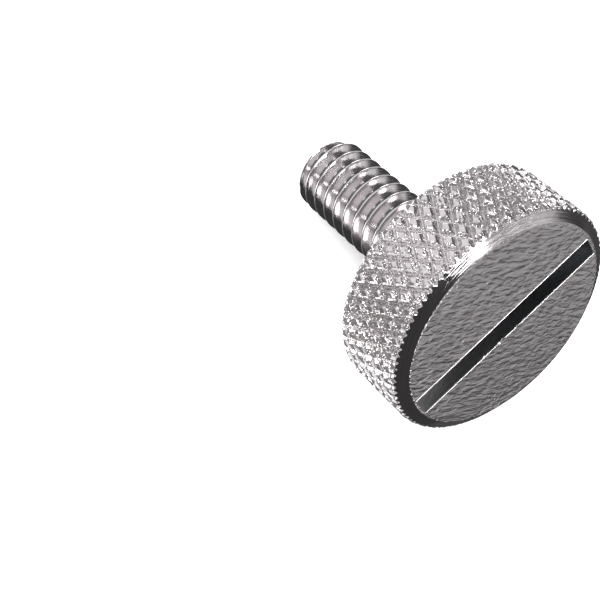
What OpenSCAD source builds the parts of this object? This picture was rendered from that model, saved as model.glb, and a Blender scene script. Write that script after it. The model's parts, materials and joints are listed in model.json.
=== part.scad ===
// Thumb screw turned from one bar: a round head with a diamond knurl and a saw-cut slot, and a threaded shank.
// It lies as it comes to rest, on two teeth of its knurl and the last crest of its thread.
// Lengths are in millimetres and angles in degrees.

/* [Head] */
// Diameter of the head's blank, before it is knurled
head_d = 19.05; // [16:0.05:26]
// Height of the head
head_h = 6.75; // [4.5:0.05:12]
// Width of the bevel round the slotted face, seen from the end
bevel_w = 0.825; // [0.4:0.025:1.5]
// Height of that bevel
bevel_h = 0.5; // [0.2:0.05:1]

/* [Knurl] */
// Grooves round the head in each of the two directions
knurl_count = 50; // [30:1:56]
// Angle between a groove and the axis of the screw
knurl_angle = 30; // [24:1:40]
// Depth of the grooves
knurl_depth = 0.5; // [0.2:0.05:0.7]
// How far knurling raises the teeth above the blank
knurl_rise = 0.275; // [0.05:0.025:0.4]
// Width of the flat top of a tooth, measured round the head
tooth_flat = 0.18; // [0.08:0.02:0.4]

/* [Slot] */
// Width of the slot
slot_w = 2; // [0.8:0.1:4]
// Depth of the slot at its middle
slot_depth = 2.7; // [1:0.1:3.5]
// Width of the flat rim left between an end of the slot and the bevel
slot_margin = 0.1; // [0.05:0.05:2]
// Turn of the slot about the axis, from the side that faces the floor
slot_turn = 109.5; // [0:0.5:180]

/* [Shank] */
// Length of the shank, from the head to the tip
shank_l = 15.875; // [9:0.125:40]
// Diameter over the crests of the thread
thread_d = 6.3; // [4.5:0.05:9]
// Distance from one crest of the thread to the next
thread_pitch = 1.27; // [0.9:0.01:1.75]
// Length of the plain neck under the head
neck_l = 2; // [1:0.1:5]
// How much wider the plain neck is than the thread
neck_step = 0.05; // [0.02:0.01:0.3]
// Width of the chamfer at the tip, cut at 45 degrees
tip_chamfer = 0.7; // [0.3:0.05:1]

/* [Hidden] */
nickel = [0.74, 0.73, 0.7];
// How far a cutting shape reaches past the metal
overrun = 0.5;
// Sides of a round shape
$fn = 144;

// Head
blank_r = head_d / 2;
face_r = blank_r - bevel_w;
// The bevel's slope carried on out, past the teeth
bevel_reach = knurl_rise + overrun;
bevel_foot = bevel_h + bevel_reach * bevel_h / bevel_w;

// Knurl, on a grid whose columns and rows are half a tooth apart
columns = 2 * knurl_count;
column_w = 2 * PI * blank_r / columns;
row_h = column_w / tan(knurl_angle);
top_row = ceil(head_h / row_h + 0.5);
tooth_r = blank_r + knurl_rise;
groove_r = tooth_r - knurl_depth;
// Half the flat top of a tooth, as a share of a column, and the radius of that tooth if it were sharp
flat_share = tooth_flat / 2 / column_w;
point_r = groove_r + knurl_depth / (1 - flat_share);

// Slot, cut by a round saw that plunges into the face
slot_half = face_r - slot_margin;
saw_r = (slot_half * slot_half + slot_depth * slot_depth) / (2 * slot_depth);

// Thread with 60 degree flanks, a crest flat of an eighth of the pitch and a root flat of a quarter
thread_steps = 36;
crest_r = thread_d / 2;
crest_half = thread_pitch / 16;
root_half = thread_pitch / 8;
root_r = crest_r - (thread_pitch / 2 - crest_half - root_half) / tan(30);
neck_r = crest_r + neck_step / 2;
tip_r = crest_r - tip_chamfer;
// The last crest meets the chamfer's corner on the side that faces the floor
crest_t = tip_chamfer - shank_l + crest_half;
turns_past_tip = 2;
turns = turns_past_tip + ceil(-crest_t / thread_pitch);

// Rest: the lowest teeth stand one column each side of the line that faces the floor
rest_t = (0.5 - flat_share) * row_h;
rest_r = tooth_r * cos(360 / columns);
tilt = atan((rest_r - crest_r) / (shank_l - tip_chamfer + rest_t));
head_z = rest_r * cos(tilt) - rest_t * sin(tilt);
front_x = head_h * cos(tilt) + face_r * sin(tilt);
back_x = -shank_l * cos(tilt) - tip_r * sin(tilt);

// A point of the knurl: lift is 0 at the bottom of a groove and 1 at the top of a sharp tooth
function knurl_point(column, row, lift) =
    let (r = groove_r + lift * (point_r - groove_r))
    let (turn = ((column + columns) % columns) * 360 / columns)
    [r * cos(turn), r * sin(turn), (row - 0.5) * row_h];

// Four corners round a tooth: right, below, left and above, as seen from outside
function tooth_corners(column, row, reach, lift) = [
    knurl_point(column + reach, row, lift),
    knurl_point(column, row - reach, lift),
    knurl_point(column - reach, row, lift),
    knurl_point(column, row + reach, lift)
];

// The triangles of a tooth: two on its flat top and two on each of its four sides
function tooth(column, row) =
    let (top = tooth_corners(column, row, flat_share, 1 - flat_share))
    let (foot = tooth_corners(column, row, 1, 0))
    [
        [top[0], top[1], top[2]],
        [top[0], top[2], top[3]],
        for (i = [0:3])
            let (j = (i + 1) % 4)
            each [[top[i], foot[i], foot[j]], [top[i], foot[j], top[j]]]
    ];

// The edge that a row of teeth leaves on its outer side, where beyond is -1 below the band and 1 above it
function band_edge(row, beyond) = [
    for (column = [0:columns - 1])
        knurl_point(column, row + ((column + row) % 2 == 0 ? beyond : 0), 0)
];

// Where the middle of the crest is along the axis at one step
function thread_t(step) = crest_t + (step / thread_steps - turns_past_tip) * thread_pitch;

function thread_point(step, r, offset) =
    let (turn = (step % thread_steps) * 360 / thread_steps)
    [r * cos(turn), r * sin(turn), thread_t(step) + offset];

// The outline of the thread's ridge at one step, from the root below to the root above
function thread_outline(step) = [
    thread_point(step, root_r, root_half - thread_pitch / 2),
    thread_point(step, crest_r, -crest_half),
    thread_point(step, crest_r, crest_half),
    thread_point(step, root_r, thread_pitch / 2 - root_half)
];

// The flat of the root at one step, up to the ridge of the next turn
function root_line(step) = [thread_outline(step)[3], thread_outline(step + thread_steps)[0]];

// The triangles between two lines of as many points, the first on the left as seen from outside
function strip(left, right) = [
    for (i = [0:len(left) - 2])
        each [[left[i], left[i + 1], right[i]], [right[i], left[i + 1], right[i + 1]]]
];

// The triangles from a centre to each side of a closed line, clockwise as the line is
function fan(centre, line) = [
    for (i = [0:len(line) - 1])
        [centre, line[i], line[(i + 1) % len(line)]]
];

function backwards(line) = [for (i = [len(line) - 1:-1:0]) line[i]];

module closed_solid(triangles) {
    polyhedron(
        points = [for (triangle = triangles) each triangle],
        faces = [for (i = [0:len(triangles) - 1]) [3 * i, 3 * i + 1, 3 * i + 2]],
        convexity = 12
    );
}

// A band of knurl that reaches past both ends of the head
module knurled_band() {
    low = [0, 0, -row_h];
    high = [0, 0, (top_row + 0.5) * row_h];
    closed_solid(concat(
        [for (row = [0:top_row]) for (column = [row % 2:2:columns - 1]) each tooth(column, row)],
        fan(low, band_edge(0, -1)),
        fan(high, backwards(band_edge(top_row, 1)))
    ));
}

// The head as it is turned, with room left for the teeth
module head_outline() {
    rotate_extrude()
        polygon([
            [0, 0],
            [blank_r + bevel_reach, 0],
            [blank_r + bevel_reach, head_h - bevel_foot],
            [face_r, head_h],
            [0, head_h]
        ]);
}

module saw_cut() {
    rotate([0, 0, slot_turn])
        translate([0, 0, head_h - slot_depth + saw_r])
            rotate([90, 0, 0])
                cylinder(h = slot_w, r = saw_r, center = true);
}

module head() {
    difference() {
        intersection() {
            knurled_band();
            head_outline();
        }
        saw_cut();
    }
}

// A thread that reaches past the tip and into the head. Its ends are closed round the axis, where a crest starts
module endless_thread() {
    last = turns * thread_steps;
    low_edge = [for (step = [0:thread_steps]) thread_outline(step)[0]];
    high_edge = [for (step = [last - thread_steps:last]) thread_outline(step)[3]];
    first_outline = thread_outline(0);
    last_outline = thread_outline(last);
    closed_solid(concat(
        [for (step = [0:last - 1]) each strip(thread_outline(step), thread_outline(step + 1))],
        [for (step = [0:last - thread_steps - 1]) each strip(root_line(step), root_line(step + 1))],
        fan([0, 0, thread_t(thread_steps / 2)],
            concat(low_edge, [first_outline[3], first_outline[2], first_outline[1]])),
        fan([0, 0, thread_t(last - thread_steps / 2)],
            backwards(concat(high_edge, [last_outline[2], last_outline[1], last_outline[0]])))
    ));
}

module shank_outline() {
    rotate_extrude()
        polygon([
            [0, -shank_l],
            [tip_r, -shank_l],
            [crest_r + overrun, -shank_l + tip_chamfer + overrun],
            [crest_r + overrun, -neck_l / 2],
            [0, -neck_l / 2]
        ]);
}

module neck() {
    translate([0, 0, -neck_l])
        cylinder(h = neck_l + overrun, r = neck_r);
}

module threaded_shank() {
    intersection() {
        endless_thread();
        shank_outline();
    }
    neck();
}

module thumb_screw() {
    color(nickel)
        translate([-(front_x + back_x) / 2, 0, head_z])
            rotate([0, 90 - tilt, 0]) {
                head();
                threaded_shank();
            }
}

thumb_screw();
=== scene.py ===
"""Draws a nickel-plated thumb screw as it lies on a pale table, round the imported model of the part.

The screw is modelled upright, in millimetres, with its slotted face up and the underside of its
head at height 0. It is laid down at the end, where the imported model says.
"""

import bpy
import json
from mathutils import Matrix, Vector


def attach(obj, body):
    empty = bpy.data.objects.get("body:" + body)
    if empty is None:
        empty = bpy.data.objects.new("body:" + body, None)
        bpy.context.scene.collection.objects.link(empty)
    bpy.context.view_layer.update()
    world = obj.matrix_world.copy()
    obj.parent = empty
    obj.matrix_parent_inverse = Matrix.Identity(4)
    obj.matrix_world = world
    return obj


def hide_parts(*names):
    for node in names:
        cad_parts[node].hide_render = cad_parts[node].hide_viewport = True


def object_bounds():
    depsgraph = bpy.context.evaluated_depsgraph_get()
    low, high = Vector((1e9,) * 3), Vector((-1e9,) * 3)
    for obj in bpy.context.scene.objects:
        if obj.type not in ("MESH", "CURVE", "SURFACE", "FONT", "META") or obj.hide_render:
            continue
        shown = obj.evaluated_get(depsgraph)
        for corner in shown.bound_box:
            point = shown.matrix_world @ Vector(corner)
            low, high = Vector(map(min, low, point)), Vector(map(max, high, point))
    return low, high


bl_info = {
    "name": "Thumb screw",
    "version": (1, 0, 0),
    "blender": (4, 5, 0),
    "location": "View3D > Sidebar > Thumb screw",
    "description": "Models a plated thumb screw with a knurled and slotted head",
    "category": "Add Mesh",
}

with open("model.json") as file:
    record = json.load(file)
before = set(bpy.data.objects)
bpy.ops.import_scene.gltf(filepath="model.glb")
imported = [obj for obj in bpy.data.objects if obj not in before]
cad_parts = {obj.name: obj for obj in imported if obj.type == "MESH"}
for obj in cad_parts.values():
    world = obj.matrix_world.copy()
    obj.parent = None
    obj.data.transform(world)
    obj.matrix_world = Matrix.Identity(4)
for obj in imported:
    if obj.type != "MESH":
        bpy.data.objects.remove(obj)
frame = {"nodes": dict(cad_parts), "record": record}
cad_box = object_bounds()

import json
import math

import bmesh
import bpy
from bpy.props import FloatProperty, FloatVectorProperty, IntProperty, PointerProperty
from mathutils import Matrix, Vector, noise

MM = 0.001
CAD_NODE = "thumb_screw"
# Turns about the screw's axis, from the side that faces the floor
SLOT_TURN = math.radians(109.5)
RIPPLE_TURN = math.radians(57)
# Points closer than this are one point, and points this close to a cut lie on it, in millimetres
JOIN_DISTANCE = 1e-4
CUT_DISTANCE = 1e-5
# Edges that bend more than this are sharp
SHARP_ANGLE = math.radians(30)
# Width of the camera's sensor in millimetres, and half the width and the roughness of the table top
SENSOR_WIDTH = 36
TABLE_HALF = 1.5
TABLE_ROUGHNESS = 0.8


def mount(name):
    """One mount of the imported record."""
    return next(m for m in frame["record"]["mounts"] if m["name"] == name)


# Where the screw lies: its axis points from the tip to the slotted face
neck_mount = mount("neck")
AXIS = -Vector(neck_mount["axis"]).normalized()
ACROSS = Vector((0, 1, 0))
FLOORWARD = ACROSS.cross(AXIS)
UNDERSIDE = Vector(neck_mount["pos_m"]) + AXIS * neck_mount["dims"]["length_mm"] * MM / 2
LAID_DOWN = Matrix.Translation(UNDERSIDE) @ Matrix((FLOORWARD, ACROSS, AXIS)).transposed().to_4x4()


def cad_reach():
    """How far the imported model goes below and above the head's underside, and out from the axis."""
    upright = LAID_DOWN.inverted()
    points = [upright @ v.co / MM for v in frame["nodes"][CAD_NODE].data.vertices]
    heights = [p.z for p in points]
    return -min(heights), max(heights), max(p.xy.length for p in points)


SHANK_LENGTH, HEAD_HEIGHT, TOOTH_RADIUS = cad_reach()
NECK_RADIUS = neck_mount["dims"]["r_mm"]
NECK_LENGTH = neck_mount["dims"]["length_mm"]
CREST_RADIUS = mount("thread")["dims"]["r_mm"]


def millimetres(name, description, default):
    """A size in millimetres."""
    return FloatProperty(name=name, description=description + ", in millimetres",
                         default=default, min=0, max=100, precision=3)


def angle_of(name, description, default):
    """An angle, whose default is in radians."""
    return FloatProperty(name=name, description=description, default=default, subtype="ANGLE")


def colour(name, description, default):
    """A colour."""
    return FloatVectorProperty(name=name, description=description, default=default,
                               subtype="COLOR", min=0, max=1)


class HeadSizes(bpy.types.PropertyGroup):
    """Sizes of the head."""

    height: millimetres("Height", "From the underside to the slotted face", HEAD_HEIGHT)
    blank_radius: millimetres("Blank radius", "Radius of the head before it is knurled", 9.525)
    bevel_width: millimetres("Bevel width", "Width of the bevel round the face, seen from the end", 0.825)
    bevel_height: millimetres("Bevel height", "Height of that bevel", 0.5)
    edge_round: millimetres("Edge rounding", "Rounding between the bevel and the face", 0.13)


class KnurlSizes(bpy.types.PropertyGroup):
    """Sizes of the diamond knurl."""

    count: IntProperty(name="Grooves", description="Grooves round the head in each direction",
                       default=50, min=8)
    angle: angle_of("Angle", "Angle between a groove and the axis", math.radians(30))
    tooth_radius: millimetres("Tooth radius", "Radius over the tops of the teeth", TOOTH_RADIUS)
    depth: millimetres("Depth", "Depth of the grooves", 0.32)
    flat: millimetres("Tooth flat", "Width of a tooth's flat top", 0.52)
    groove_flat: millimetres("Groove flat", "Width of the bottom of a groove", 0.02)
    cuts: IntProperty(name="Cuts", description="Mesh columns in half a tooth", default=10, min=2)


class SlotSizes(bpy.types.PropertyGroup):
    """Sizes of the slot."""

    width: millimetres("Width", "Width of the slot", 2.0)
    depth: millimetres("Depth", "Depth of the slot at its middle", 2.7)
    half_length: millimetres("Half length", "From the axis to an end of the slot", 8.56)
    turn: angle_of("Turn", "Turn about the axis from the side that faces the floor", SLOT_TURN)
    edge: millimetres("Edge rounding", "Rounding of the slot's edges", 0.07)


class ShankSizes(bpy.types.PropertyGroup):
    """Sizes of the shank and its thread."""

    length: millimetres("Length", "From the head to the tip", SHANK_LENGTH)
    crest_radius: millimetres("Crest radius", "Radius over the crests of the thread", CREST_RADIUS)
    pitch: millimetres("Pitch", "Distance between crests", 1.27)
    neck_radius: millimetres("Neck radius", "Radius of the plain neck", NECK_RADIUS)
    neck_length: millimetres("Neck length", "Length of the plain neck", NECK_LENGTH)
    fillet: millimetres("Fillet", "Fillet between the neck and the head", 0.15)
    chamfer: millimetres("Chamfer", "Chamfer at the tip", 0.7)
    steps: IntProperty(name="Steps", description="Mesh steps in one turn", default=64, min=16)
    rows: IntProperty(name="Rows", description="Mesh rows in one pitch", default=24, min=16)


class ScrewSizes(bpy.types.PropertyGroup):
    """All sizes of the screw."""

    head: PointerProperty(type=HeadSizes, name="Head", description="Sizes of the head")
    knurl: PointerProperty(type=KnurlSizes, name="Knurl", description="Sizes of the knurl")
    slot: PointerProperty(type=SlotSizes, name="Slot", description="Sizes of the slot")
    shank: PointerProperty(type=ShankSizes, name="Shank", description="Sizes of the shank")


class NickelSettings(bpy.types.PropertyGroup):
    """Colours of the plating, and a painted shade colour for the slot and the roots of the thread."""

    bright: colour("Bright", "Colour of clean nickel", (0.69, 0.658, 0.666))
    dull: colour("Dull", "Colour where the nickel has dulled", (0.57, 0.535, 0.548))
    # Painted shade: a dark colour that stands for the shade deep in the slot and at the roots of the thread
    painted_shade: colour("Tarnish", "Colour deep in the slot and the thread", (0.22, 0.24, 0.245))


class StageSettings(bpy.types.PropertyGroup):
    """The table top, and the camera's place and aim."""

    table_colour: colour("Table", "Colour of the table top", (0.9, 0.9, 0.9))
    table_glow: FloatProperty(name="Table glow", description="Light that the table top gives off",
                              default=0.25, min=0)
    camera_place: FloatVectorProperty(name="Camera", description="Where the camera stands",
                                      default=(0.02491, -0.03929, 0.09602), subtype="TRANSLATION",
                                      precision=5)
    heading: angle_of("Heading", "Turn of the view about the vertical", math.radians(42.29))
    pitch: angle_of("Pitch", "How far the camera looks down", math.radians(65.96))
    roll: angle_of("Roll", "Roll of the camera about its view", math.radians(14.24))
    lens: FloatProperty(name="Lens", description="Focal length", default=78, unit="CAMERA")


class Value:
    """A shader socket that sums and products can be written with."""

    def __init__(self, graph, socket):
        self.graph = graph
        self.socket = socket

    def math(self, operation, *others):
        """One Math node that starts from this value."""
        inputs = dict(enumerate((self, *others)))
        return self.graph.node("ShaderNodeMath", inputs, operation=operation)

    def __add__(self, other):
        return self.math("ADD", other)

    __radd__ = __add__

    def __mul__(self, other):
        return self.math("MULTIPLY", other)

    __rmul__ = __mul__

    def __sub__(self, other):
        return self.math("SUBTRACT", other)

    def __rsub__(self, other):
        return -1 * self + other

    def dot(self, direction):
        """How far a vector goes in a direction."""
        return self.graph.node("ShaderNodeVectorMath", {0: self, 1: direction},
                               output="Value", operation="DOT_PRODUCT")

    def ramp(self, start, end, low=0.0, high=1.0):
        """Goes smoothly from low at start to high at end."""
        inputs = {"Value": self, "From Min": start, "From Max": end, "To Min": low, "To Max": high}
        return self.graph.node("ShaderNodeMapRange", inputs, interpolation_type="SMOOTHSTEP")


class Graph:
    """Adds nodes to a node tree."""

    def __init__(self, tree):
        self.tree = tree

    def node(self, kind, inputs, output=0, **settings):
        """Adds a node with its settings and inputs, and gives one of its outputs."""
        node = self.tree.nodes.new(kind)
        for name, setting in settings.items():
            setattr(node, name, setting)
        for name, value in inputs.items():
            self.feed(node.inputs[name], value)
        return Value(self, node.outputs[output])

    def feed(self, socket, value):
        """Links a value to a socket, or sets the socket to a number or colour."""
        if isinstance(value, Value):
            self.tree.links.new(value.socket, socket)
        else:
            socket.default_value = value

    def vector(self, x, y, z):
        """A vector, or a grey where all three are the same."""
        return self.node("ShaderNodeCombineXYZ", {0: x, 1: y, 2: z})

    def mixed(self, factor, first, second):
        """Mixes two colours, which are sockets 6 and 7 of the Mix node, with the result in socket 2."""
        return self.node("ShaderNodeMix", {0: factor, 6: first, 7: second}, output=2, data_type="RGBA")

    def noise(self, vector, scale, detail=2.0, roughness=0.5, distortion=0.0):
        """Noise from about 0 to 1."""
        inputs = {"Vector": vector, "Scale": scale, "Detail": detail, "Roughness": roughness,
                  "Distortion": distortion}
        return self.node("ShaderNodeTexNoise", inputs)


class ScrewSpace:
    """Shader coordinates in millimetres, upright as the screw is modelled, with the angle in radians."""

    def __init__(self, graph):
        place = graph.node("ShaderNodeTexCoord", {}, output="Object")
        from_head = graph.node("ShaderNodeVectorMath", {0: place, 1: UNDERSIDE}, operation="SUBTRACT")
        self.x, self.y, self.z = (from_head.dot(direction / MM) for direction in (FLOORWARD, ACROSS, AXIS))
        self.all = graph.vector(self.x, self.y, self.z)
        self.radius = (self.x * self.x + self.y * self.y).math("SQRT")
        self.angle = self.y.math("ARCTAN2", self.x)

    def along(self, turn):
        """Distance across the screw towards a turn about its axis."""
        return self.x * math.cos(turn) + self.y * math.sin(turn)


# Each finish gives the height of its bumps in millimetres, its roughness, and a share from 0 to 1 that mixes
# its colour:
# how clean the metal is, and in the slot and the thread how far it is out of the painted shade
def finish_face(graph, at):
    """Short wavy ripples, as plating and rolling leave them."""
    ripples_along, ripples_across, bend = 1.2, 2.6, 1.4
    ripple_height, grain_height = 0.085, 0.005
    smooth, grain_rough = 0.14, 0.12
    waver = (graph.noise(at.all, scale=0.12) - 0.5) * bend
    along = at.along(RIPPLE_TURN)
    across = at.y * math.cos(RIPPLE_TURN) - at.x * math.sin(RIPPLE_TURN)
    stretched = graph.vector(along * ripples_along + across * waver, across * ripples_across, waver)
    ripple = graph.noise(stretched, scale=1.0, detail=1.5, distortion=0.3)
    grain = graph.noise(at.all, scale=9.0)
    cloud = graph.noise(at.all, scale=0.9, detail=3.0)
    height = ripple * ripple_height + grain * grain_height
    roughness = smooth + grain * grain_rough
    return height, roughness, cloud.ramp(0.3, 0.6)


def finish_bevel(graph, at):
    """Lines left by the turning tool, deeper on the side that faces up."""
    side_angle, top_angle = 2.3, 2.9
    line_height, more_on_top = 0.01, 0.03
    smooth, line_rough = 0.08, 0.08
    lines = graph.noise(graph.vector(at.z, at.angle * 0.15, 0.0), scale=14.0, detail=3.0, roughness=0.6)
    upper = at.angle.math("ABSOLUTE").ramp(side_angle, top_angle)
    height = lines * (upper * more_on_top + line_height)
    roughness = smooth + lines * line_rough
    return height, roughness, lines.ramp(0.3, 0.6)


def finish_band(graph, at):
    """Rolled teeth, pitted where the metal folded, most of all under their tops."""
    pit_height, more_below = 0.014, 0.05
    smooth, pit_rough = 0.05, 0.08
    pits = graph.noise(at.all, scale=4.5, detail=1.0, roughness=0.6)
    below = at.radius.ramp(TOOTH_RADIUS - 0.03, TOOTH_RADIUS - 0.16)
    height = pits * (below * more_below + pit_height)
    roughness = smooth + pits * pit_rough
    return height, roughness, pits.ramp(0.3, 0.5)


def finish_thread(graph, at):
    """Lines along the flanks of the thread, with painted shade darkening its roots."""
    line_height, grain_height = 0.010, 0.003
    smooth, grain_rough = 0.08, 0.08
    root_radius, unshaded_radius = 2.38, 2.6
    stretched = graph.vector(at.radius, at.angle * 0.3, at.z * 0.05)
    lines = graph.noise(stretched, scale=12.0, detail=3.0, roughness=0.6)
    grain = graph.noise(at.all, scale=8.0)
    height = lines * line_height + grain * grain_height
    roughness = smooth + grain * grain_rough
    # Painted shade: the colour darkens towards the roots of the thread
    return height, roughness, at.radius.ramp(root_radius, unshaded_radius)


def finish_slot(graph, at):
    """Saw marks along the walls, painted shade that darkens the slot most at one end, and rough worn top
    edges left out of that painted shade.
    """
    mark_height = 0.02
    smooth, mark_rough, edge_rough = 0.3, 0.1, 0.15
    dark_end, lit_end, most_out_of_shade = 7.0, -7.5, 0.4
    stretched = graph.vector(at.x * 0.3, at.y * 0.3, at.z)
    marks = graph.noise(stretched, scale=9.0, detail=3.0, roughness=0.6)
    # Painted shade along the slot: darkest at one end, lighter towards the other
    out_of_shade = at.along(SLOT_TURN).ramp(dark_end, lit_end, low=0.0, high=most_out_of_shade)
    # The painted shade stops at the top edges, which take the clean colour
    edge = at.z.ramp(HEAD_HEIGHT - 0.07, HEAD_HEIGHT - 0.03)
    height = marks * mark_height
    roughness = smooth + marks * mark_rough + edge * edge_rough
    return height, roughness, out_of_shade + edge


def finish_end(graph, at):
    """Rings left by the turning tool."""
    ring_height = 0.004
    smooth, ring_rough = 0.06, 0.06
    stretched = graph.vector(at.radius, at.angle * 0.1, at.z)
    rings = graph.noise(stretched, scale=8.0, detail=3.0, roughness=0.6)
    height = rings * ring_height
    roughness = smooth + rings * ring_rough
    return height, roughness, rings.ramp(0.3, 0.6)


FINISHES = {
    "rippled_face": finish_face,
    "turned_bevel": finish_bevel,
    "knurled_band": finish_band,
    "cut_thread": finish_thread,
    "sawn_slot": finish_slot,
    "turned_end": finish_end,
}
FINISH_INDEX = {finish: index for index, finish in enumerate(FINISHES)}
# Finishes whose colour darkens towards the painted shade colour in their recesses
PAINTED_SHADE_FINISHES = {"sawn_slot", "cut_thread"}


def nickel(finish, colours):
    """Nickel plate with one of the finishes."""
    material = bpy.data.materials.new(finish)
    material.use_nodes = True
    graph = Graph(material.node_tree)
    shader = material.node_tree.nodes["Principled BSDF"]
    height, roughness, cleanness_and_shade = FINISHES[finish](graph, ScrewSpace(graph))
    # The slot and the thread mix towards the painted shade colour instead of the dull one
    dull = colours.painted_shade if finish in PAINTED_SHADE_FINISHES else colours.dull
    graph.feed(shader.inputs["Base Color"], graph.mixed(cleanness_and_shade, (*dull, 1), (*colours.bright, 1)))
    graph.feed(shader.inputs["Roughness"], roughness)
    shader.inputs["Metallic"].default_value = 1
    bump = graph.node("ShaderNodeBump", {"Height": height, "Distance": MM})
    graph.feed(shader.inputs["Normal"], bump)
    return material


def clamp(value, low=0.0, high=1.0):
    """The value, or the limit that it is past."""
    return max(low, min(high, value))


def soft_least(a, b, blend):
    """The lesser of two values, rounded where they meet."""
    share = clamp(0.5 + 0.5 * (b - a) / blend)
    return b + (a - b) * share - blend * share * (1 - share)


def smooth_step(value, start, end):
    """Goes smoothly from 0 at start to 1 at end."""
    share = clamp((value - start) / (end - start))
    return share * share * (3 - 2 * share)


def add_object(name, data):
    """A new object in the scene."""
    thing = bpy.data.objects.new(name, data)
    bpy.context.scene.collection.objects.link(thing)
    return thing


def roll_sheet(bm, steps, rows, shape):
    """Rolls a grid into a tube: shape gives the turn, radius and height of a grid point."""
    half = 0.5
    bmesh.ops.create_grid(bm, x_segments=steps, y_segments=rows, size=half)
    for vert in bm.verts:
        turn, radius, height = shape(round((vert.co.x + half) * steps), round((vert.co.y + half) * rows))
        angle = 2 * math.pi * turn
        vert.co = (radius * math.cos(angle), radius * math.sin(angle), height)
    bmesh.ops.remove_doubles(bm, verts=bm.verts, dist=JOIN_DISTANCE)


def cut_off(bm, height, outward):
    """Cuts a mesh level at a height, and drops what is above it, or below it where outward is -1."""
    bmesh.ops.bisect_plane(bm, geom=bm.verts[:] + bm.edges[:] + bm.faces[:], dist=CUT_DISTANCE,
                           plane_co=(0, 0, height), plane_no=(0, 0, outward), clear_outer=True)


def at_height(item, height):
    """Whether all corners of an edge or face are at a height."""
    return all(abs(v.co.z - height) < JOIN_DISTANCE for v in item.verts)


def add_section(whole, finish, make, *sizes):
    """Adds what make draws to the whole screw, in one finish."""
    part = bmesh.new()
    make(part, *sizes)
    for face in part.faces:
        face.material_index = FINISH_INDEX[finish]
    mesh = bpy.data.meshes.new("section")
    part.to_mesh(mesh)
    part.free()
    whole.from_mesh(mesh)
    bpy.data.meshes.remove(mesh)


def close_level(whole, height, finish):
    """Fills the flat ground between the open edges at one height."""
    edges = [e for e in whole.edges if e.is_boundary and at_height(e, height)]
    filled = bmesh.ops.triangle_fill(whole, use_beauty=True, edges=edges)
    for item in filled["geom"]:
        if isinstance(item, bmesh.types.BMFace):
            item.material_index = FINISH_INDEX[finish]


def box_radius(height):
    """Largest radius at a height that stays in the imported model's box, over the floor and under its top."""
    above_floor = UNDERSIDE.z / MM + height * AXIS.z
    below_top = cad_box[1][2] / MM - above_floor
    return min(above_floor, below_top) / AXIS.x


def bevel_radius(height, head):
    """Radius of the bevel's cone at a height."""
    above_foot = height - (head.height - head.bevel_height)
    return head.blank_radius - above_foot * head.bevel_width / head.bevel_height


# Rounding at the foot and the top of a tooth, as shares of the height of a sharp one
VALLEY_ROUND = 0.08
TOP_ROUND = 0.10
# Usual share of the flat top's width that a tooth has, and how far it varies from tooth to tooth
FLAT_SHARE, FLAT_SPREAD = 0.85, 0.3
# The pit in a tooth: its place off the middle and its half width in steps of the grid, and its depth and
# how far that varies, as shares of the height of a sharp tooth
PIT_PLACE = (0.04, -0.03)
PIT_HALF = 0.11
PIT_DEPTH, PIT_SPREAD = 0.06, 0.14
# Moves the pits' random numbers away from those of the flat tops
PIT_SHIFT = Vector((0.3, 7.7, 3.1))


def tooth_height(column, row, knurl, column_width):
    """Height of the knurl, from 0 in a groove to 1 at a sharp tooth, on a grid of half teeth."""
    first = (column + row) / 2
    second = (column - row) / 2
    nearest = (round(first), round(second))
    half_flat = knurl.groove_flat / 2 / column_width
    sides = [clamp((0.5 - abs(value - whole) - half_flat) / (0.5 - half_flat))
             for value, whole in zip((first, second), nearest)]
    height = soft_least(sides[0], sides[1], VALLEY_ROUND)
    tooth = Vector((sum(nearest) % (2 * knurl.count), nearest[0] - nearest[1], 0))
    top = 1 - knurl.flat / 2 / column_width * (FLAT_SHARE + FLAT_SPREAD * noise.cell(tooth))
    away = math.hypot(first - nearest[0] - PIT_PLACE[0], second - nearest[1] - PIT_PLACE[1])
    depth = PIT_DEPTH + PIT_SPREAD * noise.cell(tooth + PIT_SHIFT)
    return soft_least(height, top, TOP_ROUND) - math.exp(-(away / PIT_HALF) ** 2) * depth


# Rows lie close together where the teeth end, from under the bevel's foot to over it, in millimetres
FINE_BELOW, FINE_ABOVE, FINE_STEP = 0.25, 0.18, 0.035
CONE_ROWS = 2
RIM_ROWS = 5


def band_heights(head, knurl, row_height):
    """Heights of the mesh rows up the knurled band."""
    step = row_height / knurl.cuts
    bevel_foot = head.height - head.bevel_height
    fine_start = bevel_foot - FINE_BELOW
    plain = [step * i for i in range(int(fine_start / step) + 1)]
    fine_count = round((bevel_foot + FINE_ABOVE - fine_start) / FINE_STEP)
    return plain + [fine_start + FINE_STEP * i for i in range(1, fine_count + 1)]


def bevel_and_rim(head, band_end):
    """Radius and height of each mesh row above the teeth, up the bevel's cone and round the face's edge."""
    slope = math.atan2(head.bevel_height, head.bevel_width)
    bevel_top = head.height - head.edge_round * math.sin(slope)
    cone = [band_end + (bevel_top - band_end) * i / CONE_ROWS for i in range(1, CONE_ROWS + 1)]
    corner = Vector((bevel_radius(head.height, head), head.height))
    down = Vector((head.edge_round * math.cos(slope), -head.edge_round * math.sin(slope)))
    inward = Vector((-head.edge_round, 0))
    shares = [i / RIM_ROWS for i in range(1, RIM_ROWS + 1)]
    rim = [corner + (1 - share) ** 2 * down + share ** 2 * inward for share in shares]
    return [(bevel_radius(height, head), height) for height in cone] + [tuple(point) for point in rim]


# Unevenness of the knurled band: reach in millimetres and scale of each layer of noise
BAND_LAYERS = ((0.012, 4.0), (0.006, 11.0))
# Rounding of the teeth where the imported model's box and the bevel cut them, in millimetres
BOX_ROUND = 0.06
BEVEL_ROUND = 0.04
# The knurl starts this many rows of its grid under the head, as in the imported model
ROW_SHIFT = 0.5


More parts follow.
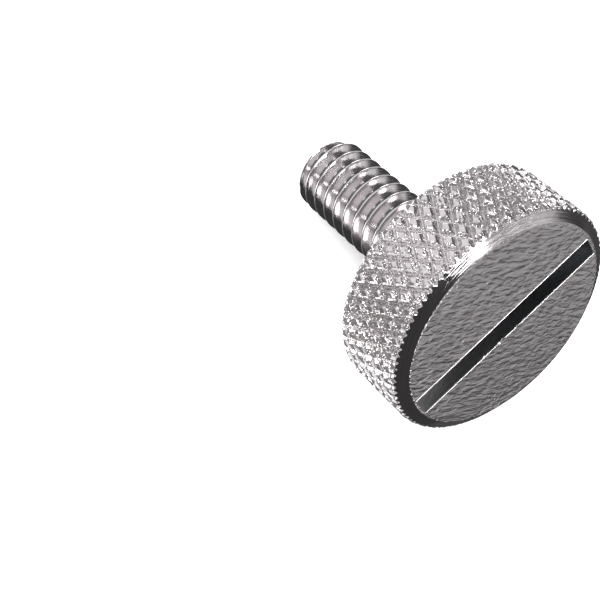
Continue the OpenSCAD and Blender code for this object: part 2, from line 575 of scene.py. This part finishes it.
def draw_band(bm, head, knurl):
    """The knurled band, the bevel and the rounded edge of the face, as one rolled sheet."""
    columns = 2 * knurl.count
    column_width = 2 * math.pi * head.blank_radius / columns
    row_height = column_width / math.tan(knurl.angle)
    groove_radius = knurl.tooth_radius - knurl.depth
    point_rise = knurl.depth / (1 - knurl.flat / 2 / column_width)
    heights = band_heights(head, knurl, row_height)
    above = bevel_and_rim(head, heights[-1])
    steps = columns * knurl.cuts

    def shape(step, row):
        turn = step / steps
        if row >= len(heights):
            return turn, *above[row - len(heights)]
        height = heights[row]
        angle = 2 * math.pi * turn
        spot = Vector((head.blank_radius * math.cos(angle), head.blank_radius * math.sin(angle), height))
        rough = sum(reach * noise.noise(spot * scale) for reach, scale in BAND_LAYERS)
        rise = tooth_height(step / knurl.cuts, height / row_height + ROW_SHIFT, knurl, column_width)
        cone_radius = bevel_radius(height, head)
        tooth = min(groove_radius + point_rise * rise + rough, knurl.tooth_radius)
        tooth = soft_least(tooth, box_radius(height), BOX_ROUND)
        tooth = soft_least(tooth, cone_radius, BEVEL_ROUND)
        return turn, max(min(groove_radius, cone_radius), tooth), height

    roll_sheet(bm, steps, len(heights) + len(above) - 1, shape)


FLANK_ANGLE = math.radians(30)
# Rounding at the foot of the flanks, as a share of the thread's depth
ROOT_ROUND = 0.12
# Turns from the last groove to the neck, and turns before and after that groove over which it runs out
LAST_GROOVE = 0.7
RUN_OUT_BEFORE, RUN_OUT_AFTER = 0.6, 0.3


def groove_depth(turns, height, shank):
    """Depth of the thread under its crests, at a turn about the axis and a height."""
    half_pitch = shank.pitch / 2
    crest_half = shank.pitch / 16
    root_half = shank.pitch / 10
    flank_width = half_pitch - crest_half - root_half
    full_depth = flank_width / math.tan(FLANK_ANGLE)
    crest_height = shank.chamfer - shank.length + crest_half
    place = (height - crest_height) / shank.pitch - 0.5
    groove = round(place - turns) + turns
    from_root = abs(place - groove) * shank.pitch
    share = (half_pitch - crest_half - from_root) / flank_width
    depth = full_depth * clamp(soft_least(share, 1.0, ROOT_ROUND))
    last_groove = (-shank.neck_length - crest_height) / shank.pitch - LAST_GROOVE
    withdrawn = smooth_step(groove, last_groove - RUN_OUT_BEFORE, last_groove + RUN_OUT_AFTER)
    return max(0.0, depth - full_depth * withdrawn)


# Length over which the neck widens from the crests, and rounding of the chamfer's corner, in millimetres
NECK_BLEND = 0.2
CHAMFER_ROUND = 0.06
# Turns of the thread that are drawn past the shank's ends and cut off
SPARE_TURNS = 2


def draw_shank(bm, shank):
    """The thread and the neck: one pitch of plain surface is wound along the shank, then cut to depth."""
    turns = math.ceil(shank.length / shank.pitch) + SPARE_TURNS
    start = -shank.length - shank.pitch
    tip_radius = shank.crest_radius - shank.chamfer
    neck_start = -shank.neck_length - NECK_BLEND

    def shape(step, row):
        turn = step / shank.steps
        height = start + shank.pitch * (turn + row / shank.rows)
        widened = smooth_step(height, neck_start, -shank.neck_length)
        outside = shank.crest_radius + (shank.neck_radius - shank.crest_radius) * widened
        radius = outside - groove_depth(turn, height, shank)
        into_fillet = clamp(1 + height / shank.fillet)
        radius += shank.fillet * (1 - math.sqrt(1 - into_fillet * into_fillet))
        chamfer_radius = tip_radius + max(0.0, height + shank.length)
        return turn, soft_least(radius, chamfer_radius, CHAMFER_ROUND), height

    roll_sheet(bm, turns * shank.steps, shank.rows, shape)
    cut_off(bm, -shank.length, outward=-1)
    cut_off(bm, 0.0, outward=1)


# The dimple in the tip: radius and depth of each ring, and the radius inside which all is one point
DIMPLE = ((0.30, 0.0), (0.28, 0.03), (0.2, 0.045), (0.001, 0.05))
DIMPLE_STEPS = 32
DIMPLE_POINT = 0.01


def draw_dimple(bm, shank):
    """The shallow dimple in the middle of the tip."""

    def shape(step, row):
        radius, depth = DIMPLE[row]
        return step / DIMPLE_STEPS, radius, -shank.length + depth

    roll_sheet(bm, DIMPLE_STEPS, len(DIMPLE) - 1, shape)
    middle = [v for v in bm.verts if v.co.xy.length < DIMPLE_POINT]
    bmesh.ops.remove_doubles(bm, verts=middle, dist=DIMPLE_POINT)


SAW_SIDES = 720
EDGE_CUTS = 160
# Lines of the slot's worn edge: how far out and up each one lies, as shares of the edge's rounding
SLOT_LIP = ((0.02, 1.1), (0.45, 1.55), (0.85, 1.25), (1.0, 1.0))
# Waver of that edge: reach in millimetres, scale along the slot and level in the noise
LIP_WAVER, LIP_SCALE, LIP_LEVEL = 0.010, 2.3, 5.0
# Burrs and nicks on the slot's lower edge: place along the slot, reach off the slot and half width
NICKS = ((-0.72, -0.24, 0.12), (-1.05, 0.14, 0.10), (0.78, -0.16, 0.07), (-2.6, 0.08, 0.12))


def nick_reach(along):
    """How far the burrs and nicks move the slot's lower edge off the slot, at a place along it."""
    return sum(reach * math.exp(-((along - place) / half) ** 2) for place, reach, half in NICKS)


def draw_slot(bm, head, slot):
    """The slot, as the lower part of the saw's disc with its edges opened a little."""
    saw_radius = (slot.half_length ** 2 + slot.depth ** 2) / (2 * slot.depth)
    centre = head.height - slot.depth + saw_radius
    wall_top = head.height - slot.edge
    upright = Matrix.Translation((0, slot.width / 2, centre)) @ Matrix.Rotation(math.pi / 2, 4, "X")
    bmesh.ops.create_circle(bm, cap_ends=True, segments=SAW_SIDES, radius=saw_radius, matrix=upright)
    cut_off(bm, wall_top, outward=1)
    grown = bmesh.ops.extrude_face_region(bm, geom=bm.faces[:])
    moved = [v for v in grown["geom"] if isinstance(v, bmesh.types.BMVert)]
    bmesh.ops.translate(bm, verts=moved, vec=(0, -slot.width, 0))
    lid = [f for f in bm.faces if at_height(f, wall_top)]
    bmesh.ops.delete(bm, geom=lid, context="FACES_ONLY")
    long_edges = [e for e in bm.edges if e.is_boundary and e.calc_length() > 2 * slot.width]
    bmesh.ops.subdivide_edges(bm, edges=long_edges, cuts=EDGE_CUTS)
    for out, up in SLOT_LIP:
        rim = [e for e in bm.edges if e.is_boundary]
        grown = bmesh.ops.extrude_edge_only(bm, edges=rim)
        lip = [v for v in grown["geom"] if isinstance(v, bmesh.types.BMVert)]
        for vert in lip:
            beyond = slot.width / 2 + slot.edge * out
            ragged = LIP_WAVER * noise.noise(Vector((vert.co.x * LIP_SCALE, vert.co.y, LIP_LEVEL)))
            if vert.co.y < 0:
                ragged += nick_reach(vert.co.x)
            vert.co.y = math.copysign(beyond + ragged, vert.co.y)
            vert.co.z = wall_top + slot.edge * up
    bmesh.ops.rotate(bm, verts=bm.verts, cent=(0, 0, 0), matrix=Matrix.Rotation(slot.turn, 3, "Z"))


# How far inside the bevel's cone a face of the band may lie and still be part of the bevel, in millimetres
CONE_REACH = 0.03


def shade_screw(whole, head):
    """Smooths the screw, gives the bevel its own finish and keeps real edges sharp."""
    for face in whole.faces:
        face.smooth = True
        middle = face.calc_center_median()
        on_cone = middle.z > 0 and middle.xy.length > bevel_radius(middle.z, head) - CONE_REACH
        if on_cone and face.material_index == FINISH_INDEX["knurled_band"]:
            face.material_index = FINISH_INDEX["turned_bevel"]
    flat_ground = {FINISH_INDEX["rippled_face"], FINISH_INDEX["turned_end"]}
    for edge in whole.edges:
        finishes = {face.material_index for face in edge.link_faces}
        bounds_ground = len(finishes) > 1 and finishes & flat_ground
        edge.smooth = not bounds_ground and edge.calc_face_angle(0) < SHARP_ANGLE


def draw_screw(name, sizes):
    """The whole screw as one closed mesh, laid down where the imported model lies."""
    whole = bmesh.new()
    add_section(whole, "knurled_band", draw_band, sizes.head, sizes.knurl)
    add_section(whole, "sawn_slot", draw_slot, sizes.head, sizes.slot)
    close_level(whole, sizes.head.height, "rippled_face")
    add_section(whole, "cut_thread", draw_shank, sizes.shank)
    close_level(whole, 0, "turned_end")
    add_section(whole, "turned_end", draw_dimple, sizes.shank)
    close_level(whole, -sizes.shank.length, "turned_end")
    bmesh.ops.remove_doubles(whole, verts=whole.verts, dist=JOIN_DISTANCE)
    bmesh.ops.recalc_face_normals(whole, faces=whole.faces)
    shade_screw(whole, sizes.head)
    open_edges = sum(1 for e in whole.edges if not e.is_manifold)
    if open_edges:
        raise RuntimeError(f"The screw's mesh isn't closed: it has {open_edges} open edges")
    bmesh.ops.transform(whole, matrix=LAID_DOWN @ Matrix.Scale(MM, 4), verts=whole.verts)
    mesh = bpy.data.meshes.new(name)
    whole.to_mesh(mesh)
    whole.free()
    return add_object(name, mesh)


class MESH_OT_thumb_screw(bpy.types.Operator):
    """Model the thumb screw and lay it down"""

    bl_idname = "mesh.thumb_screw"
    bl_label = "Thumb screw"

    def execute(self, context):
        screw = draw_screw("plated_screw", context.scene.screw_sizes)
        for finish in FINISHES:
            screw.data.materials.append(nickel(finish, context.scene.nickel_colours))
        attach(screw, "root")
        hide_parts(CAD_NODE)
        return {"FINISHED"}


def add_floor(stage):
    """A pale table top."""
    bm = bmesh.new()
    bmesh.ops.create_grid(bm, x_segments=8, y_segments=8, size=TABLE_HALF)
    mesh = bpy.data.meshes.new("table_top")
    bm.to_mesh(mesh)
    bm.free()
    floor = add_object("table_top", mesh)
    material = bpy.data.materials.new("pale_top")
    material.use_nodes = True
    shader = material.node_tree.nodes["Principled BSDF"]
    shader.inputs["Base Color"].default_value = (*stage.table_colour, 1)
    shader.inputs["Emission Color"].default_value = (1, 1, 1, 1)
    shader.inputs["Emission Strength"].default_value = stage.table_glow
    shader.inputs["Roughness"].default_value = TABLE_ROUGHNESS
    mesh.materials.append(material)
    floor.visible_glossy = False


def toward(turn, rise):
    """The direction at a turn about the vertical and a rise over the horizon, in degrees."""
    turn, rise = math.radians(turn), math.radians(rise)
    return Vector((math.cos(rise) * math.cos(turn), math.cos(rise) * math.sin(turn), math.sin(rise)))


# What stands round the table: turn and rise of the middle, half width, half height and soft edge in
# degrees, and brightness. A later card hides an earlier one.
CARDS = {
    "front_screen": (-85, -14, 34, 22, 10, 1.2),
    "left_screen": (-166, 30, 37, 24, 8, 1.05),
    "left_horizon": (178, -12, 24, 13, 5, 0.33),
    "left_dim": (-124, -18, 17, 22, 5, 0.25),
    "left_glare": (-153, -33, 8, 10, 3, 5.0),
    "back_glare": (146, -10, 7, 8, 3, 5.0),
    "back_screen": (110, 36, 20, 22, 8, 0.16),
    "high_spot": (-150, 62, 5, 4, 2, 8.0),
    "back_spot": (130, 58, 5, 4, 2, 8.0),
    "side_spot": (112, 0, 4, 4, 2, 7.0),
    "front_spot": (-112, 22, 4, 4, 2, 9.0),
    "low_spot": (-96, -38, 4, 4, 2, 9.0),
    "right_table": (32, -56, 46, 30, 14, 0.08),
    "right_wall": (34, 0, 34, 22, 22, 0.38),
    "dark_card": (-20, -8, 29, 62, 4, 0.05),
    "edge_light": (11, -13, 2.5, 13, 1.5, 3.0),
    "grey_card": (47, 10, 9, 9, 3, 0.85),
    "dark_wall": (66, -8, 10, 14, 4, 0.06),
    "dark_gap": (78, -40, 14, 32, 6, 0.07),
    "window_top": (34, 29, 10, 2, 1, 2.5),
    "window_gap": (38, 25, 12, 1.5, 1, 0.15),
    "window_low": (42, 21, 10, 1.5, 1, 2.0),
    "strip_lamp": (18, 32, 4, 7, 1, 4.0),
    "top_lamp": (-4, 56, 16, 10, 3, 12.0),
}


def card_mask(graph, direction, turn, rise, half_width, half_height, edge):
    """1 inside a card that faces the middle of the table, 0 outside."""
    middle = toward(turn, rise)
    side = Vector((-middle.y, middle.x, 0)).normalized()
    ahead = direction.dot(middle)
    right = direction.dot(side).math("ARCTAN2", ahead).math("ABSOLUTE")
    high = direction.dot(middle.cross(side)).math("ARCSINE").math("ABSOLUTE")
    masks = [value.ramp(math.radians(half + edge), math.radians(half - edge))
             for value, half in ((right, half_width), (high, half_height))]
    return masks[0] * masks[1]


def make_world():
    """Soft surroundings: a dim room, a table that is bright at its far edge, and the cards round it."""
    world = bpy.data.worlds.new("studio")
    world.use_nodes = True
    graph = Graph(world.node_tree)
    direction = graph.node("ShaderNodeTexCoord", {}, output="Generated")
    rise = direction.dot((0, 0, 1))
    room = rise.ramp(-0.3, 0.1, low=0.8, high=0.3)
    near_table = rise.ramp(-0.85, -0.55, low=0.3, high=1.0)
    light = room * near_table
    for *card, brightness in CARDS.values():
        mask = card_mask(graph, direction, *card)
        light = light + (brightness - light) * mask
    graph.feed(world.node_tree.nodes["Background"].inputs["Color"], graph.vector(light, light, light))
    return world


def add_lamp(name, place, aim, size, power):
    """A soft square lamp."""
    light = bpy.data.lights.new(name, "AREA")
    light.size = size
    light.energy = power
    lamp = add_object(name, light)
    lamp.location = place
    lamp.rotation_euler = (Vector(aim) - Vector(place)).to_track_quat("-Z", "Y").to_euler()
    lamp.visible_glossy = False


def add_camera(stage):
    """The camera, placed and turned as in the photograph."""
    lens = bpy.data.cameras.new("camera")
    lens.lens = stage.lens
    lens.sensor_width = SENSOR_WIDTH
    lens.clip_start = MM
    camera = add_object("camera", lens)
    turn = (Matrix.Rotation(stage.heading, 4, "Z") @ Matrix.Rotation(math.pi / 2 - stage.pitch, 4, "X")
            @ Matrix.Rotation(stage.roll, 4, "Z"))
    camera.matrix_world = Matrix.Translation(stage.camera_place) @ turn
    bpy.context.scene.camera = camera


class SCENE_OT_screw_stage(bpy.types.Operator):
    """Set the table top, the lights and the camera"""

    bl_idname = "scene.screw_stage"
    bl_label = "Stage"

    def execute(self, context):
        stage = context.scene.screw_stage
        add_floor(stage)
        add_lamp("sky_lamp", place=(-0.15, -0.05, 0.6), aim=(0, 0, 0), size=0.9, power=9)
        context.scene.world = make_world()
        context.scene.view_settings.view_transform = "Standard"
        add_camera(stage)
        return {"FINISHED"}


class VIEW3D_PT_thumb_screw(bpy.types.Panel):
    """Lists the sizes, the colours and the two operators"""

    bl_label = "Thumb screw"
    bl_space_type = "VIEW_3D"
    bl_region_type = "UI"
    bl_category = "Thumb screw"

    def draw(self, context):
        scene = context.scene
        sizes = scene.screw_sizes
        groups = (sizes.head, sizes.knurl, sizes.slot, sizes.shank, scene.nickel_colours, scene.screw_stage)
        for group in groups:
            box = self.layout.box()
            for name in type(group).__annotations__:
                box.prop(group, name)
        self.layout.operator(MESH_OT_thumb_screw.bl_idname)
        self.layout.operator(SCENE_OT_screw_stage.bl_idname)


CLASSES = (HeadSizes, KnurlSizes, SlotSizes, ShankSizes, ScrewSizes, NickelSettings, StageSettings,
           MESH_OT_thumb_screw, SCENE_OT_screw_stage, VIEW3D_PT_thumb_screw)


def register():
    """Registers the classes and gives the scene its settings."""
    for cls in CLASSES:
        bpy.utils.register_class(cls)
    bpy.types.Scene.screw_sizes = PointerProperty(type=ScrewSizes)
    bpy.types.Scene.nickel_colours = PointerProperty(type=NickelSettings)
    bpy.types.Scene.screw_stage = PointerProperty(type=StageSettings)


def unregister():
    """Takes the settings and the classes away again."""
    del bpy.types.Scene.screw_stage
    del bpy.types.Scene.nickel_colours
    del bpy.types.Scene.screw_sizes
    for cls in reversed(CLASSES):
        bpy.utils.unregister_class(cls)


def main():
    """Draws the screw and its stage."""
    register()
    bpy.ops.mesh.thumb_screw()
    bpy.ops.scene.screw_stage()


if __name__ == "__main__":
    main()
